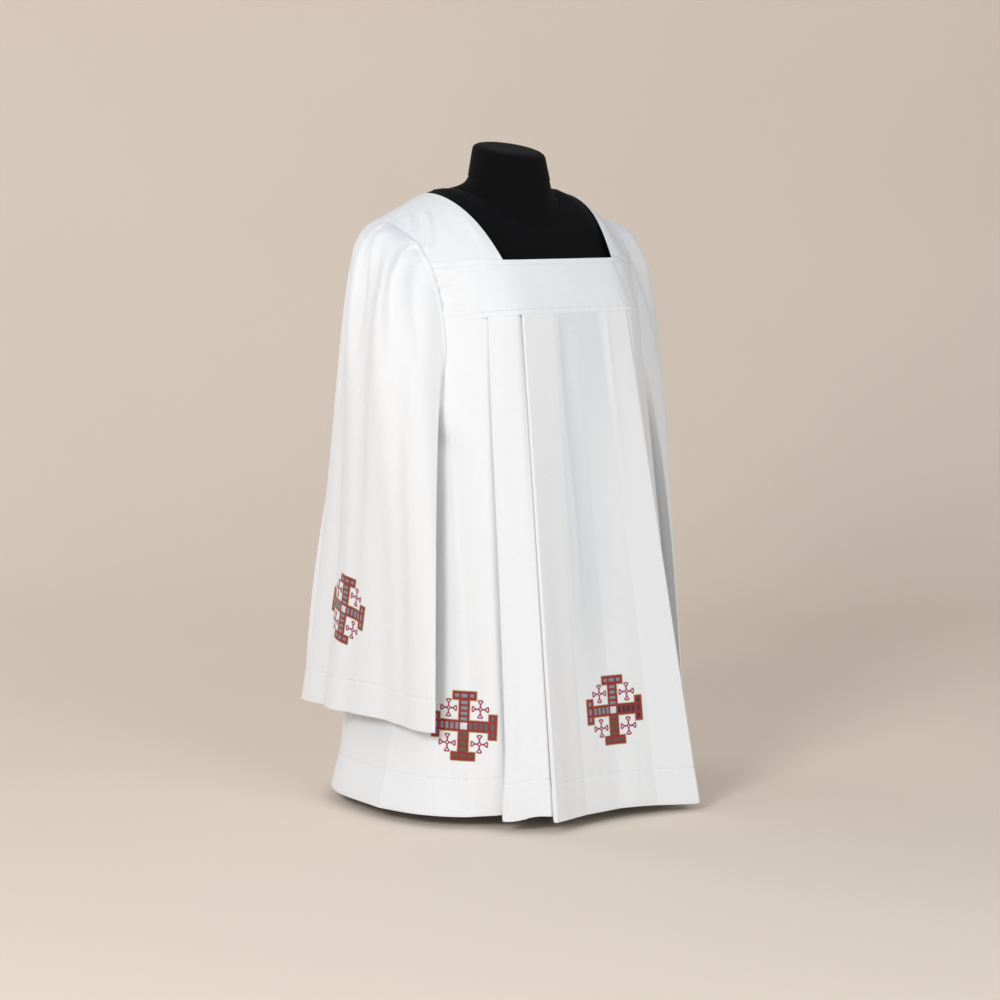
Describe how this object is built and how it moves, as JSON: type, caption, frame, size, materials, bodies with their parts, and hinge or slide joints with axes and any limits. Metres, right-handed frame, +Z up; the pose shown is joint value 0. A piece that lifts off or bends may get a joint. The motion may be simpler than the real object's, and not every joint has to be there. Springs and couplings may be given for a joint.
{
  "type": "surplice on a dress form",
  "caption": "White hip-length surplice with a square yoke, pleated skirt, wide open sleeves and stitched cross ornaments, worn by a black limbless dress form on a short round stand.",
  "frame": {"origin": "centre of the whole box, on the floor plane under the stand's base", "axes": "+Z up, the garment's front faces -Y, the wearer's right side is -X"},
  "size_m": [0.5274, 0.4912, 0.9449],
  "materials": {
    "white_cloth": "matte plain weave",
    "black_jersey": "matte knit",
    "black_steel": "satin"
  },
  "bodies": {
    "root": {"front_yoke": "white_cloth", "back_yoke": "white_cloth", "front_skirt": "white_cloth", "back_skirt": "white_cloth", "shoulder_right": "white_cloth", "shoulder_left": "white_cloth", "sleeve_right": "white_cloth", "sleeve_left": "white_cloth", "form_torso": "black_jersey", "form_neck": "black_jersey", "stand_base": "black_steel", "stand_pole": "black_steel", "stand_socket": "black_steel"}
  },
  "joints": []
}
